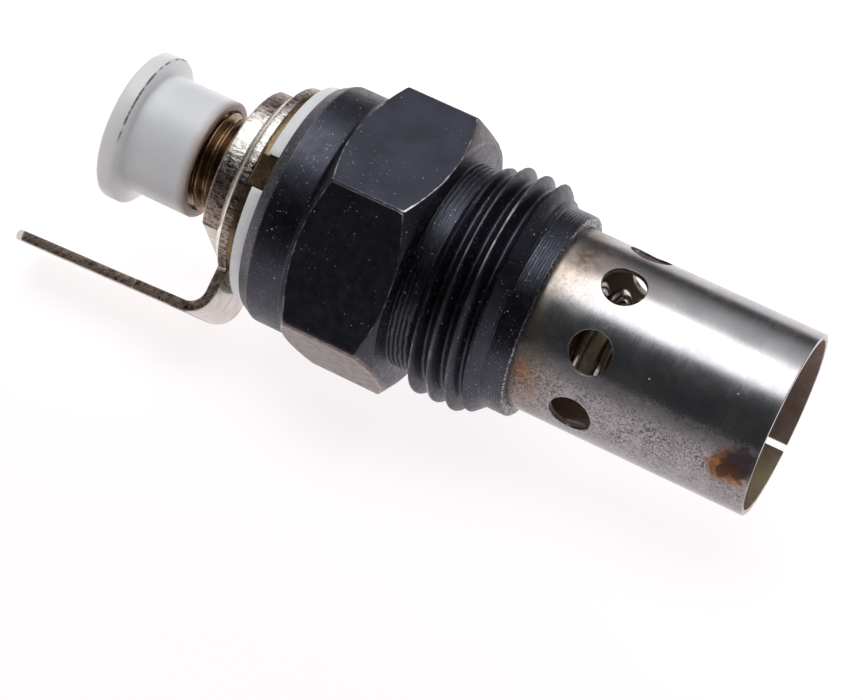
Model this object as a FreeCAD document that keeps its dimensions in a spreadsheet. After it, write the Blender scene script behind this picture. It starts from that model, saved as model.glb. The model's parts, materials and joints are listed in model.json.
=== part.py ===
import FreeCAD, Part
import os
import re
import Sketcher

# A diesel cold-start flame plug, lying on one hex flat.
# +X runs along the thread axis from the fuel inlet to the open end of the flame shield, +Z is up,
# and the origin is on that axis at the face of the hex that seats on the manifold.

App = FreeCAD
V = App.Vector
doc = App.newDocument("flame_plug")

# ---------------------------------------------------------------- driving dimensions, in mm

DIMENSIONS = {
    # holder: 7/8 in - 14 thread, 15/16 in hexagon
    "thread_r": 11.1125,
    "thread_pitch": 1.8143,
    "thread_depth": 1.113,
    "thread_start": 2.25,
    "thread_flat": 0.2268,
    "hex_flats": 23.8125,
    "hex_left": -9.69,
    "hex_chamfer_run": 1.59,
    "seat_chamfer_run": 1.25,
    "seat_r": 11.96,
    "collar_r": 11.48,
    "collar_left": -14.2,
    "collar_chamfer_run": 1.15,
    "collar_face_r": 10.85,
    "neck_r": 9.75,
    "pilot_r": 9.58,
    "pilot_start": 8.6,
    "holder_end": 11.3,
    "holder_end_chamfer": 0.3,
    "holder_bore_r": 6.2,
    "chamber_r": 8.0,
    "chamber_left": -6.2,
    # flame shield: rolled strip with an open butt seam
    "shield_r": 8.55,
    "shield_wall": 0.55,
    "shield_left": 4.5,
    "shield_end": 33.63,
    "shield_hole_r": 1.97,
    "shield_hole_x": 17.2,
    "shield_hole_count": 8,
    "shield_seam_gap": 0.7,
    "shield_seam_angle": 298,
    # terminal stack, from the holder outwards
    "insulator_r": 10.5,
    "insulator_left": -15.35,
    "notch_width": 3.2,
    "notch_depth": 1.7,
    "notch_angle": 126,
    "tab_washer_r": 9.85,
    "tab_washer_left": -16.1,
    "tab_width": 2.9,
    "tab_r": 10.0,
    "tab_edge": 0.2,
    "tab_gap": 0.1,
    "terminal_r": 9.7,
    "terminal_left": -17.1,
    "blade_angle": 218,
    "strip_width": 8.7,
    "blade_width": 6.3,
    "blade_flare": 2.2,
    "blade_corner_r": 13.48,
    "blade_shoulder": -23.5,
    "blade_tip": -36.5,
    "blade_bevel": 0.3,
    "blade_tip_taper": 1.1,
    "bend_inner_r": 1.5,
    "plain_washer_r": 9.2,
    "plain_washer_left": -17.9,
    "plain_washer_chamfer": 0.5,
    "nut_r": 8.25,
    "nut_flats": 14.2875,
    "nut_left": -19.7,
    "nut_chamfer_run": 0.2,
    "nut_flat_angle": 23,
    # inlet adaptor: 3/8 in - 24 thread
    "inlet_r": 4.7625,
    "inlet_pitch": 1.0583,
    "inlet_depth": 0.649,
    "inlet_flat": 0.1323,
    "inlet_left": -29.2,
    "inlet_thread_end": -17.0,
    "inlet_lead_in": 0.6,
    "inlet_nose_r": 4.0,
    "inlet_cone_r": 3.1,
    "inlet_cone_depth": 1.9,
    "fuel_bore_r": 2.0,
    "shank_r": 4.7,
    "flange_r": 6.9,
    "flange_left": -5.4,
    "flange_right": -3.4,
    "spigot_r": 4.6,
    "spigot_right": 2.0,
    "socket_left": -3.0,
    "stack_hole_r": 4.85,
    # valve
    "valve_body_r": 3.3,
    "valve_body_bore_r": 1.7,
    "valve_body_left": -0.6,
    "valve_body_right": 26.5,
    "vapour_hole_r": 0.4,
    "vapour_hole_x": 23.4,
    "seat_bore_r": 0.7,
    "seat_cone": 0.7,
    "ball_r": 1.4,
    "ball_gap": 0.02,
    "needle_r": 0.9,
    "anchor_left": 24.6,
    "anchor_right": 26.1,
    "anchor_r": 1.65,
    # coils
    "wire_r": 0.55,
    "coil_r": 4.3,
    "heater_pitch": 2.2,
    "igniter_pitch": 2.5,
    "coil_left": 10.1,
    "heater_turns": 5.5,
    "heater_start_angle": 306,
    "igniter_turns": 3.7361,
    "igniter_tail": 5.9,
    "sleeve_r": 3.7,
    "sleeve_left": 11.2,
    "sleeve_right": 22.6,
    "live_weld_r": 0.8,
    "live_weld_angle": 301,
    "earth_weld_r": 1.2,
    "earth_weld_x": 31.9,
    "earth_weld_angle": 169,
    "earth_weld_inner_r": 7.2,
    # insulation and seal inside the holder
    "bush_right": -8.9,
    "seal_section_r": 0.75,
    "seal_x": -8.1,
    # transit cap
    "cap_flange_r": 7.15,
    "cap_left": -31.4,
    "cap_edge": 0.5,
    "cap_flange_right": -29.65,
    "cap_stem_r": 5.67,
    "cap_right": -23.0,
    "cap_bore_r": 4.87,
    "cap_floor": -29.9,
    # how far a cutting outline runs past the shape it cuts
    "runout": 1,
}

sheet = doc.addObject("Spreadsheet::Sheet", "Dims")
for row, (alias, value) in enumerate(DIMENSIONS.items(), start=1):
    sheet.set(f"A{row}", alias)
    sheet.set(f"B{row}", str(value))
    sheet.setAlias(f"B{row}", alias)
doc.recompute()


def size(expression):
    """The value of an expression in the sheet's names."""
    return float(sheet.evalExpression(expression))


def dims(expression):
    """The same expression as another object writes it, each name with the sheet in front."""
    return re.sub(r"[a-z_]+", lambda w: f"Dims.{w[0]}" if w[0] in DIMENSIONS else w[0], expression)


# ---------------------------------------------------------------- drawing helpers

def plane(body, role):
    """One of the body's own origin planes or axes."""
    return next(feature for feature in body.Origin.OriginFeatures if feature.Role == role)


def new_body(label):
    body = doc.addObject("PartDesign::Body", label)
    body.Label = label
    return body


def new_sketch(body, name, role, turn=0.0):
    """A sketch on an origin plane, turned about the X axis."""
    sketch = body.newObject("Sketcher::SketchObject", name)
    sketch.AttachmentSupport = (plane(body, role), [""])
    sketch.MapMode = "FlatFace"
    sketch.AttachmentOffset = App.Placement(V(), App.Rotation(V(1, 0, 0), turn))
    return sketch


def pin_down(sketch, geometry, position, x, y):
    """Hold a point of the sketch at two expressions of the sheet."""
    for kind, axis, expression in (("DistanceX", -2, x), ("DistanceY", -1, y)):
        value = size(expression)
        if abs(value) < 1e-9:
            sketch.addConstraint(Sketcher.Constraint("PointOnObject", geometry, position, axis))
            continue
        index = sketch.addConstraint(Sketcher.Constraint(kind, -1, 1, geometry, position, value))
        sketch.setExpression(f"Constraints[{index}]", dims(expression))


def outline(sketch, points):
    """A closed outline whose corners are held by pairs of expressions."""
    at = [V(size(x), size(y), 0) for x, y in points]
    first = sketch.GeometryCount
    for here, there in zip(at, at[1:] + at[:1]):
        sketch.addGeometry(Part.LineSegment(here, there))
    for i, (x, y) in enumerate(points):
        after = first + (i + 1) % len(points)
        sketch.addConstraint(Sketcher.Constraint("Coincident", first + i, 2, after, 1))
        pin_down(sketch, first + i, 1, x, y)


def circle(sketch, x, y, radius):
    """A circle whose centre and radius are expressions."""
    centre = V(size(x), size(y), 0)
    index = sketch.addGeometry(Part.Circle(centre, V(0, 0, 1), size(radius)))
    pin_down(sketch, index, 3, x, y)
    radius_index = sketch.addConstraint(Sketcher.Constraint("Radius", index, size(radius)))
    sketch.setExpression(f"Constraints[{radius_index}]", dims(radius))


def turned(label, points):
    """A body turned about the X axis from (x, radius) corners."""
    body = new_body(label)
    sketch = new_sketch(body, f"{label}_section", "XZ_Plane")
    outline(sketch, points)
    revolution = body.newObject("PartDesign::Revolution", f"{label}_turned")
    revolution.Profile = sketch
    revolution.ReferenceAxis = (sketch, ["H_Axis"])
    revolution.Angle = 360
    doc.recompute()
    return body


def pad(body, sketch, length, both_ways=False, reverse=False):
    feature = body.newObject("PartDesign::Pad", f"{sketch.Name}_pad")
    feature.Profile = sketch
    feature.setExpression("Length", dims(length))
    feature.Midplane = both_ways
    feature.Reversed = reverse
    doc.recompute()
    return feature


def pocket(body, sketch, length=None, both_ways=False, reverse=False):
    """A cut to a length, or through everything when no length is given."""
    before = body.Shape.Volume
    feature = body.newObject("PartDesign::Pocket", f"{sketch.Name}_cut")
    feature.Profile = sketch
    if length is None:
        feature.Type = "ThroughAll"
    else:
        feature.setExpression("Length", dims(length))
    feature.Midplane = both_ways
    feature.Reversed = reverse
    doc.recompute()
    if body.Shape.Volume >= before - 1e-6:
        raise ValueError(f"{feature.Name} cuts nothing")
    return feature


def turn_about_axis(item, degrees):
    """Turn a finished sub-part about the X axis."""
    item.Placement = App.Placement(V(), App.Rotation(V(1, 0, 0), degrees))


def cut_hexagon(body, flats, left, right):
    """Mill six flats on the stretch from left to right; two of them face up and down."""
    sketch = new_sketch(body, f"{body.Label}_hexagon", "YZ_Plane")
    sketch.AttachmentOffset = App.Placement(V(0, 0, size(right)), App.Rotation())
    corner = f"{flats} / 2 / cos(30)"
    outline(sketch, [(f"{corner} * cos({60 * i})", f"{corner} * sin({60 * i})") for i in range(6)])
    circle(sketch, "0", "0", f"{flats}")
    pocket(body, sketch, f"{right} - ({left})")


def thread_rings(left, right, crest, depth, pitch, flat):
    """Corners of a thread's ridges between two ends, drawn as rings at the real pitch."""
    count = int((size(right) - size(left)) / size(pitch))
    root = f"{crest} - {depth}"
    points = []
    for i in range(count):
        middle = f"{left} + {pitch} * {i + 0.5}"
        points += [
            (f"{middle} - {pitch} / 2 + {flat} / 2", root),
            (f"{middle} - {flat} / 2", crest),
            (f"{middle} + {flat} / 2", crest),
            (f"{middle} + {pitch} / 2 - {flat} / 2", root),
        ]
    return points


# ---------------------------------------------------------------- holder and shield

def make_holder_body():
    hex_corner = "hex_flats / 2 / cos(30)"
    outside = [
        ("collar_left", "holder_bore_r"),
        ("collar_left", "collar_face_r"),
        ("collar_left + collar_chamfer_run", "collar_r"),
        ("hex_left", "collar_r"),
        ("hex_left + hex_chamfer_run", hex_corner),
        ("-seat_chamfer_run", hex_corner),
        ("0", "seat_r"),
        ("0", "neck_r"),
        ("thread_start", "neck_r"),
    ]
    thread = thread_rings("thread_start", "pilot_start", "thread_r", "thread_depth",
                          "thread_pitch", "thread_flat")
    inside = [
        ("pilot_start + thread_pitch / 4", "pilot_r"),
        ("holder_end - holder_end_chamfer", "pilot_r"),
        ("holder_end", "pilot_r - holder_end_chamfer"),
        ("holder_end", "shield_r"),
        ("shield_left", "shield_r"),
        ("shield_left", "chamber_r"),
        ("chamber_left", "chamber_r"),
        ("chamber_left", "holder_bore_r"),
    ]
    body = turned("holder_body", outside + thread + inside)
    cut_hexagon(body, "hex_flats", "hex_left", "0")
    return body


def make_shield():
    body = turned("flame_shield", [
        ("shield_left", "shield_r - shield_wall"),
        ("shield_left", "shield_r"),
        ("shield_end", "shield_r"),
        ("shield_end", "shield_r - shield_wall"),
    ])
    hole = new_sketch(body, "shield_hole", "XY_Plane", 180 / size("shield_hole_count"))
    circle(hole, "shield_hole_x", "0", "shield_hole_r")
    drilled = pocket(body, hole, "shield_r * 2", reverse=True)
    ring = body.newObject("PartDesign::PolarPattern", "shield_holes")
    ring.Originals = [drilled]
    ring.Axis = (plane(body, "X_Axis"), [""])
    ring.setExpression("Occurrences", dims("shield_hole_count"))
    body.Tip = ring
    doc.recompute()
    seam = new_sketch(body, "shield_seam", "XY_Plane")
    outline(seam, [
        ("shield_left - runout", "-shield_seam_gap / 2"),
        ("shield_end + runout", "-shield_seam_gap / 2"),
        ("shield_end + runout", "shield_seam_gap / 2"),
        ("shield_left - runout", "shield_seam_gap / 2"),
    ])
    pocket(body, seam, "shield_r * 2")
    # the seam is drawn pointing straight down, which is 270 degrees round the axis
    turn_about_axis(body, size("shield_seam_angle") - 270)
    return body


# ---------------------------------------------------------------- terminal stack

def make_outer_insulator():
    body = turned("outer_insulator", [
        ("insulator_left", "stack_hole_r"),
        ("insulator_left", "insulator_r"),
        ("collar_left", "insulator_r"),
        ("collar_left", "stack_hole_r"),
    ])
    notch = new_sketch(body, "insulator_notch", "YZ_Plane")
    outline(notch, [
        ("-notch_width / 2", "insulator_r - notch_depth"),
        ("notch_width / 2", "insulator_r - notch_depth"),
        ("notch_width / 2", "insulator_r + runout"),
        ("-notch_width / 2", "insulator_r + runout"),
    ])
    pocket(body, notch)
    turn_about_axis(body, size("notch_angle") - 90)
    return body


def make_tab_washer():
    body = turned("tab_washer", [
        ("tab_washer_left", "stack_hole_r"),
        ("tab_washer_left", "tab_washer_r"),
        ("insulator_left", "tab_washer_r"),
        ("insulator_left", "stack_hole_r"),
    ])
    thickness = "(insulator_left - (tab_washer_left))"
    tab = new_sketch(body, "tab", "XZ_Plane")
    outline(tab, [
        ("tab_washer_left", f"tab_r - {thickness}"),
        ("collar_left - tab_gap", f"tab_r - {thickness}"),
        ("collar_left - tab_gap", "tab_r"),
        ("tab_washer_left + tab_edge", "tab_r"),
        ("tab_washer_left", "tab_r - tab_edge"),
    ])
    pad(body, tab, "tab_width", both_ways=True)
    turn_about_axis(body, size("notch_angle") - 90)
    return body


def make_blade_terminal():
    """Ring, strip, right-angle bend and blade, drawn with the strip pointing up."""
    body = new_body("blade_terminal")
    thickness = "(tab_washer_left - (terminal_left))"
    rise = "(terminal_left - (blade_tip)) * tan(blade_flare)"
    profile = new_sketch(body, "terminal_side", "XZ_Plane")
    outline(profile, [
        ("tab_washer_left", "stack_hole_r"),
        ("tab_washer_left", "blade_corner_r"),
        ("blade_tip + blade_bevel", f"blade_corner_r + {rise}"),
        ("blade_tip", f"blade_corner_r + {rise} - blade_bevel"),
        ("blade_tip", f"blade_corner_r + {rise} - {thickness} + blade_bevel"),
        ("blade_tip + blade_bevel", f"blade_corner_r + {rise} - {thickness}"),
        ("terminal_left", f"blade_corner_r - {thickness}"),
        ("terminal_left", "stack_hole_r"),
    ])
    pad(body, profile, "strip_width", both_ways=True)
    for name, x, inner in (("bend_outside", "tab_washer_left", 0), ("bend_inside", "terminal_left", 1)):
        reach = size("blade_corner_r") - inner * size(thickness)
        corner = V(size(x), 0, reach)
        edge = min(range(len(body.Shape.Edges)),
                   key=lambda i: body.Shape.Edges[i].CenterOfMass.distanceToPoint(corner))
        base = body.Tip
        fillet = body.newObject("PartDesign::Fillet", name)
        fillet.Base = (base, [f"Edge{edge + 1}"])
        fillet.setExpression("Radius", dims(f"bend_inner_r + {1 - inner} * {thickness}"))
        doc.recompute()
    ring = new_sketch(body, "terminal_ring", "YZ_Plane")
    ring.AttachmentOffset = App.Placement(V(0, 0, size("tab_washer_left")), App.Rotation())
    circle(ring, "0", "0", "terminal_r")
    pad(body, ring, thickness, reverse=True)
    hole = new_sketch(body, "terminal_hole", "YZ_Plane")
    circle(hole, "0", "0", "stack_hole_r")
    pocket(body, hole)
    for side, word in ((1, "front"), (-1, "back")):
        trim = new_sketch(body, f"blade_trim_{word}", "XY_Plane")
        outline(trim, [
            ("blade_shoulder", f"{side} * strip_width"),
            ("blade_shoulder", f"{side} * blade_width / 2"),
            ("blade_tip + blade_tip_taper", f"{side} * blade_width / 2"),
            ("blade_tip - runout", f"{side} * (blade_width / 2 - blade_tip_taper - runout)"),
            ("blade_tip - runout", f"{side} * strip_width"),
        ])
        pocket(body, trim, "blade_corner_r * 2", reverse=True)
    turn_about_axis(body, size("blade_angle") - 90)
    return body


def make_plain_washer():
    return turned("terminal_washer", [
        ("plain_washer_left", "stack_hole_r"),
        ("plain_washer_left", "plain_washer_r - plain_washer_chamfer"),
        ("plain_washer_left + plain_washer_chamfer", "plain_washer_r"),
        ("terminal_left", "plain_washer_r"),
        ("terminal_left", "stack_hole_r"),
    ])


def make_terminal_nut():
    """A round nut with two flats for a spanner, drawn with the flats facing up and down."""
    body = turned("terminal_nut", [
        ("nut_left", "inlet_r"),
        ("nut_left", "nut_r - nut_chamfer_run"),
        ("nut_left + nut_chamfer_run", "nut_r"),
        ("plain_washer_left - nut_chamfer_run", "nut_r"),
        ("plain_washer_left", "nut_r - nut_chamfer_run"),
        ("plain_washer_left", "inlet_r"),
    ])
    for side, word in ((1, "top"), (-1, "bottom")):
        flat = new_sketch(body, f"nut_flat_{word}", "YZ_Plane")
        outline(flat, [
            ("-nut_r", f"{side} * nut_flats / 2"),
            ("nut_r", f"{side} * nut_flats / 2"),
            ("nut_r", f"{side} * (nut_r + runout)"),
            ("-nut_r", f"{side} * (nut_r + runout)"),
        ])
        pocket(body, flat)
    turn_about_axis(body, size("nut_flat_angle") - 90)
    return body


# ---------------------------------------------------------------- fuel inlet, insulation, valve

def make_inlet_adaptor():
    bore = [
        ("spigot_right", "valve_body_r"),
        ("socket_left", "valve_body_r"),
        ("socket_left", "fuel_bore_r"),
        ("inlet_left + inlet_cone_depth", "fuel_bore_r"),
        ("inlet_left", "inlet_cone_r"),
    ]
    thread_left = "inlet_left + inlet_lead_in"
    outside = [("inlet_left", "inlet_nose_r")]
    outside += thread_rings(thread_left, "inlet_thread_end", "inlet_r", "inlet_depth",
                            "inlet_pitch", "inlet_flat")
    outside += [
        ("inlet_thread_end", "inlet_r - inlet_depth"),
        ("inlet_thread_end", "shank_r"),
        ("flange_left", "shank_r"),
        ("flange_left", "flange_r"),
        ("flange_right", "flange_r"),
        ("flange_right", "spigot_r"),
        ("spigot_right", "spigot_r"),
    ]
    return turned("inlet_adaptor", outside + bore)


def make_insulating_bush():
    return turned("insulating_bush", [
        ("collar_left", "stack_hole_r"),
        ("collar_left", "holder_bore_r"),
        ("bush_right", "holder_bore_r"),
        ("bush_right", "stack_hole_r"),
    ])


def make_sealing_ring():
    seal = doc.addObject("Part::Torus", "sealing_ring")
    seal.setExpression("Radius1", dims("(holder_bore_r + shank_r) / 2"))
    seal.setExpression("Radius2", dims("seal_section_r"))
    seal.Placement = App.Placement(V(size("seal_x"), 0, 0), App.Rotation(V(0, 1, 0), 90))
    return seal


def make_inner_insulator():
    return turned("inner_insulator", [
        ("chamber_left", "stack_hole_r"),
        ("chamber_left", "chamber_r"),
        ("flange_left", "chamber_r"),
        ("flange_left", "stack_hole_r"),
    ])


# the ball touches a 45 degree cone, so its centre stands this far right of the cone's small end
BALL_CENTRE = "valve_body_left - seat_cone + ball_r * sqrt(2) - seat_bore_r + ball_gap"


def make_valve_seat():
    return turned("valve_seat", [
        ("socket_left", "seat_bore_r"),
        ("socket_left", "valve_body_r"),
        ("valve_body_left", "valve_body_r"),
        ("valve_body_left", "seat_bore_r + seat_cone"),
        ("valve_body_left - seat_cone", "seat_bore_r"),
    ])


def make_valve_ball():
    ball = doc.addObject("Part::Sphere", "valve_ball")
    ball.setExpression("Radius", dims("ball_r"))
    ball.Placement = App.Placement(V(size(BALL_CENTRE), 0, 0), App.Rotation())
    return ball


def make_valve_body():
    body = turned("valve_body", [
        ("valve_body_left", "valve_body_bore_r"),
        ("valve_body_left", "valve_body_r"),
        ("valve_body_right", "valve_body_r"),
        ("valve_body_right", "valve_body_bore_r"),
    ])
    hole = new_sketch(body, "vapour_hole", "XY_Plane")
    circle(hole, "vapour_hole_x", "0", "vapour_hole_r")
    pocket(body, hole, both_ways=True)
    return body


def make_valve_needle():
    needle = doc.addObject("Part::Cylinder", "valve_needle")
    start = f"{BALL_CENTRE} + ball_r + ball_gap"
    needle.setExpression("Radius", dims("needle_r"))
    needle.setExpression("Height", dims(f"anchor_right - ({start})"))
    needle.Placement = App.Placement(V(size(start), 0, 0), App.Rotation(V(0, 1, 0), 90))
    return needle


def make_needle_anchor():
    return turned("needle_anchor", [
        ("anchor_left", "needle_r"),
        ("anchor_left", "anchor_r"),
        ("anchor_right", "anchor_r"),
        ("anchor_right", "needle_r"),
    ])


# ---------------------------------------------------------------- coils

def axis_to_x(x, degrees):
    """Lay a shape drawn along Z along X, its own X axis at an angle round the new axis."""
    turn = App.Rotation(V(1, 1, 1), 120).multiply(App.Rotation(V(0, 0, 1), degrees))
    return App.Placement(V(x, 0, 0), turn)


def make_coil(label, left, pitch, turns, start_angle):
    """Round wire wound left-handed; left is the wire's centre at its first end."""
    spine = doc.addObject("Part::Helix", f"{label}_spine")
    spine.LocalCoord = "Left-handed"
    spine.setExpression("Pitch", dims(pitch))
    spine.setExpression("Height", dims(f"{pitch} * {turns}"))
    spine.setExpression("Radius", dims("coil_r"))
    spine.Placement = axis_to_x(size(left), start_angle)
    doc.recompute()
    wire = spine.Shape.Edges[0]
    along = App.Rotation(V(0, 0, 1), wire.tangentAt(wire.FirstParameter))
    section = doc.addObject("Part::Circle", f"{label}_section")
    section.setExpression("Radius", dims("wire_r"))
    section.Placement = App.Placement(wire.valueAt(wire.FirstParameter), along)
    coil = doc.addObject("Part::Sweep", label)
    coil.Sections = [section]
    coil.Spine = (spine, [f"Edge{i + 1}" for i in range(len(spine.Shape.Edges))])
    coil.Solid = True
    coil.Frenet = True
    doc.recompute()
    return coil


def radial_pin(name, x, degrees, radius, inner, outer):
    """A cylinder that points straight out from the axis."""
    pin = doc.addObject("Part::Cylinder", name)
    pin.setExpression("Radius", dims(radius))
    pin.setExpression("Height", dims(f"{outer} - ({inner})"))
    outward = App.Rotation(V(1, 0, 0), degrees).multVec(V(0, 1, 0))
    pin.Placement = App.Placement(V(size(x), 0, 0) + outward * size(inner), App.Rotation(V(0, 0, 1), outward))
    return pin


def boolean(kind, label, base, tool):
    result = doc.addObject(f"Part::{kind}", label)
    result.Base = base
    result.Tool = tool
    doc.recompute()
    return result


def make_heater_coil():
    return make_coil("heater_coil", "coil_left", "heater_pitch", "heater_turns", size("heater_start_angle"))


def make_igniter_coil():
    """The coil's last run leaves it in a straight line and ends close to the shield's wall."""
    coil = make_coil("igniter_winding", "coil_left + heater_pitch * heater_turns", "igniter_pitch",
                     "igniter_turns", size("heater_start_angle - 360 * heater_turns"))
    ends = [face for face in coil.Shape.Faces if isinstance(face.Surface, Part.Plane)]
    last = max(ends, key=lambda face: face.CenterOfMass.x)
    tail = doc.addObject("Part::Cylinder", "igniter_tail_wire")
    tail.setExpression("Radius", dims("wire_r"))
    tail.setExpression("Height", dims("igniter_tail"))
    tail.Placement = App.Placement(last.CenterOfMass, App.Rotation(V(0, 0, 1), last.normalAt(0, 0)))
    return boolean("Fuse", "igniter_coil", coil, tail)


def make_coil_sleeve():
    return turned("coil_sleeve", [
        ("sleeve_left", "valve_body_r"),
        ("sleeve_left", "sleeve_r"),
        ("sleeve_right", "sleeve_r"),
        ("sleeve_right", "valve_body_r"),
    ])


def make_live_weld(valve_body):
    """Bead that joins the heater coil's first end to the valve body."""
    bead = radial_pin("live_bead", "coil_left", size("live_weld_angle"), "live_weld_r",
                      "valve_body_r - wire_r", "coil_r - wire_r")
    return boolean("Cut", "live_weld", bead, valve_body)


def make_earth_weld(igniter_coil):
    """Nugget that joins the igniter coil's tail to the inside of the shield."""
    nugget = radial_pin("earth_nugget", "earth_weld_x", size("earth_weld_angle"), "earth_weld_r",
                        "earth_weld_inner_r", "shield_r")
    bore = doc.addObject("Part::Cylinder", "shield_inside")
    bore.setExpression("Radius", dims("shield_r - shield_wall"))
    bore.setExpression("Height", dims("shield_end"))
    bore.Placement = App.Placement(V(), App.Rotation(V(0, 1, 0), 90))
    against_wall = boolean("Common", "earth_nugget_on_wall", nugget, bore)
    return boolean("Cut", "earth_weld", against_wall, igniter_coil)


# ---------------------------------------------------------------- transit cap

def make_transit_cap():
    """Push-on plastic cap over the inlet thread, closed at its flanged end."""
    return turned("transit_cap", [
        ("cap_left", "0"),
        ("cap_left", "cap_flange_r - cap_edge"),
        ("cap_left + cap_edge", "cap_flange_r"),
        ("cap_flange_right", "cap_flange_r"),
        ("cap_flange_right", "cap_stem_r"),
        ("cap_right", "cap_stem_r"),
        ("cap_right", "cap_bore_r"),
        ("cap_floor", "cap_bore_r"),
        ("cap_floor", "0"),
    ])


# ---------------------------------------------------------------- build, check and write

igniter_coil = make_igniter_coil()
valve_body = make_valve_body()

NODES = [
    make_holder_body(),
    make_shield(),
    make_outer_insulator(),
    make_tab_washer(),
    make_blade_terminal(),
    make_plain_washer(),
    make_terminal_nut(),
    make_inlet_adaptor(),
    make_insulating_bush(),
    make_sealing_ring(),
    make_inner_insulator(),
    make_valve_seat(),
    make_valve_ball(),
    valve_body,
    make_valve_needle(),
    make_needle_anchor(),
    make_coil_sleeve(),
    make_heater_coil(),
    igniter_coil,
    make_live_weld(valve_body),
    make_earth_weld(igniter_coil),
    make_transit_cap(),
]
doc.recompute()

for item in doc.Objects:
    if any(word in item.State for word in ("Invalid", "Error")):
        raise RuntimeError(f"{item.Label}: {item.State}")

os.makedirs("parts", exist_ok=True)
for node in NODES:
    if node.Shape.isNull() or not node.Shape.isValid() or len(node.Shape.Solids) != 1:
        raise RuntimeError(f"{node.Label} is not one sound solid")
    node.Shape.exportStep(f"parts/{node.Label}.step")
    box = node.Shape.BoundBox
    print(f"{node.Label:18s} {node.Shape.Volume:9.2f} mm3   x {box.XMin:7.2f} to {box.XMax:7.2f}")
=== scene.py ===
import json
import math

import bmesh
import bpy
from mathutils import Matrix, Vector


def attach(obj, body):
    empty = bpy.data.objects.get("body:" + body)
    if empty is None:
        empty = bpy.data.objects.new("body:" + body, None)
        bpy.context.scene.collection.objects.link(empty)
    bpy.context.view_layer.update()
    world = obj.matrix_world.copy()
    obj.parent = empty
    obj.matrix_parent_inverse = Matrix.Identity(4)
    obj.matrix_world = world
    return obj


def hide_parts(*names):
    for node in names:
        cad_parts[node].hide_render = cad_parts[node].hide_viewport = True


# A diesel cold-start flame plug, lying on one hex flat.
# Lengths are in millimetres and angles in degrees; shapes are scaled to metres as they are made.
# +X runs along the thread axis to the open end of the flame shield. Angles round that axis are
# counted from +Y towards +Z.

MM = 0.001
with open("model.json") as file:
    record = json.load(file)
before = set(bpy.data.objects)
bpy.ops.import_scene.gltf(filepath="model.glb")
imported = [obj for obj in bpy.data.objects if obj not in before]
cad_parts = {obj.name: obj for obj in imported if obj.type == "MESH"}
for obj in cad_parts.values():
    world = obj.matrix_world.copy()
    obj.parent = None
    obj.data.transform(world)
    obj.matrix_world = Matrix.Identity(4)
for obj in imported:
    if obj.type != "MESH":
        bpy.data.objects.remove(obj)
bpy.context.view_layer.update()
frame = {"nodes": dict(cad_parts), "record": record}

# ---------------------------------------------------------------- dimensions

COS_30 = math.cos(math.radians(30))

# the holder, from its collar to its pilot
HEX_FLATS = 23.8125
HEX_HALF = HEX_FLATS / 2
HEX_CORNER = HEX_HALF / COS_30
HEX_LEFT = -9.69
HEX_CHAMFER = 1.59
SEAT_CHAMFER = 1.25
SEAT_R = 11.96
COLLAR_R = 11.48
COLLAR_LEFT = -14.2
COLLAR_CHAMFER_END = -13.05
COLLAR_FACE_R = 10.85
NECK_R = 9.75
PILOT_R = 9.58
HOLDER_END = 11.3
CHAMBER_R = 8.0
CHAMBER_LEFT = -6.2
STEM_HOLE_R = 6.2
SHIELD_SOCKET_R = 8.56

# its thread, which swells out of the neck and is cut off by a cone before the pilot
THREAD_START = 2.1
THREAD_FULL = 2.9
THREAD_ROOT_FULL = 2.6
THREAD_END = 9.3
THREAD_PITCH = 1.8143
THREAD_CREST_X = 3.82
THREAD_ROOT = 10.0
THREAD_CREST = 11.1
END_CONE_START = 7.55
END_CONE_SLOPE = 0.93

# the flame shield: a rolled strip with holes, an open seam and a spot weld
SHIELD_R = 8.55
SHIELD_WALL = 0.55
SHIELD_LEFT = 4.5
SHIELD_END = 33.63
HOLE_R = 1.97
HOLE_X = 17.2
HOLE_COUNT = 8
SEAM_ANGLE = 298
SEAM_HALF = math.degrees(0.35 / SHIELD_R)
WELD_X = 32.0
WELD_ANGLE = 164
WELD_R = 1.0
WELD_DEPTH = 0.11

# the terminal stack
STACK_HOLE_R = 4.9
NUT_LEFT = -19.7
NUT_RIGHT = -17.9
NUT_R = 8.25
NUT_FLAT = 14.2875 / 2
NUT_FLAT_ANGLE = 23
NUT_CORNER_ANGLE = 53
WASHER_R = 9.2
WASHER_FACE_R = 8.5
WASHER_CHAMFER = 0.65
RING_LEFT = -17.1
RING_RIGHT = -16.1
BLADE_ANGLE = 218
BLADE_SHOULDER = -23.5
BLADE_HALF = 3.15
STRIP_HALF = 4.35
BLADE_INNER_R = 9.8

# the fuel inlet and its cap
INLET_START = -28.6
INLET_FULL_START = -28.0
INLET_FULL_END = -17.6
INLET_END = -17.0
INLET_CREST = 4.7625
INLET_DEPTH = 0.649
INLET_PITCH = 1.0583
INLET_CREST_X = -20.9
INLET_LEFT = -29.2
INLET_NOSE_R = 4.0
INLET_CONE_R = 3.1
INLET_CONE_END = -27.3
SHANK_R = 4.7
FLANGE_LEFT = -5.4
FLANGE_RIGHT = -3.4
FLANGE_R = 6.9
SPIGOT_R = 4.6
SPIGOT_END = 2.0
VALVE_SOCKET_R = 3.31
VALVE_SOCKET_LEFT = -3.0
FUEL_BORE_R = 2.0
CAP_LEFT = -31.4
CAP_FLANGE_END = -29.65
CAP_FLANGE_R = 7.15
CAP_RIGHT = -23.0
CAP_R = 5.67
CAP_BORE_R = 4.87
CAP_BORE_END = -29.9


def ramp_between(value, start, end):
    """0 before start, 1 after end, and a straight line between."""
    return min(max((value - start) / (end - start), 0.0), 1.0)


# ---------------------------------------------------------------- outlines

CORNER_REACH = 0.45  # the most of a line's length that the rounding of one corner takes


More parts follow.
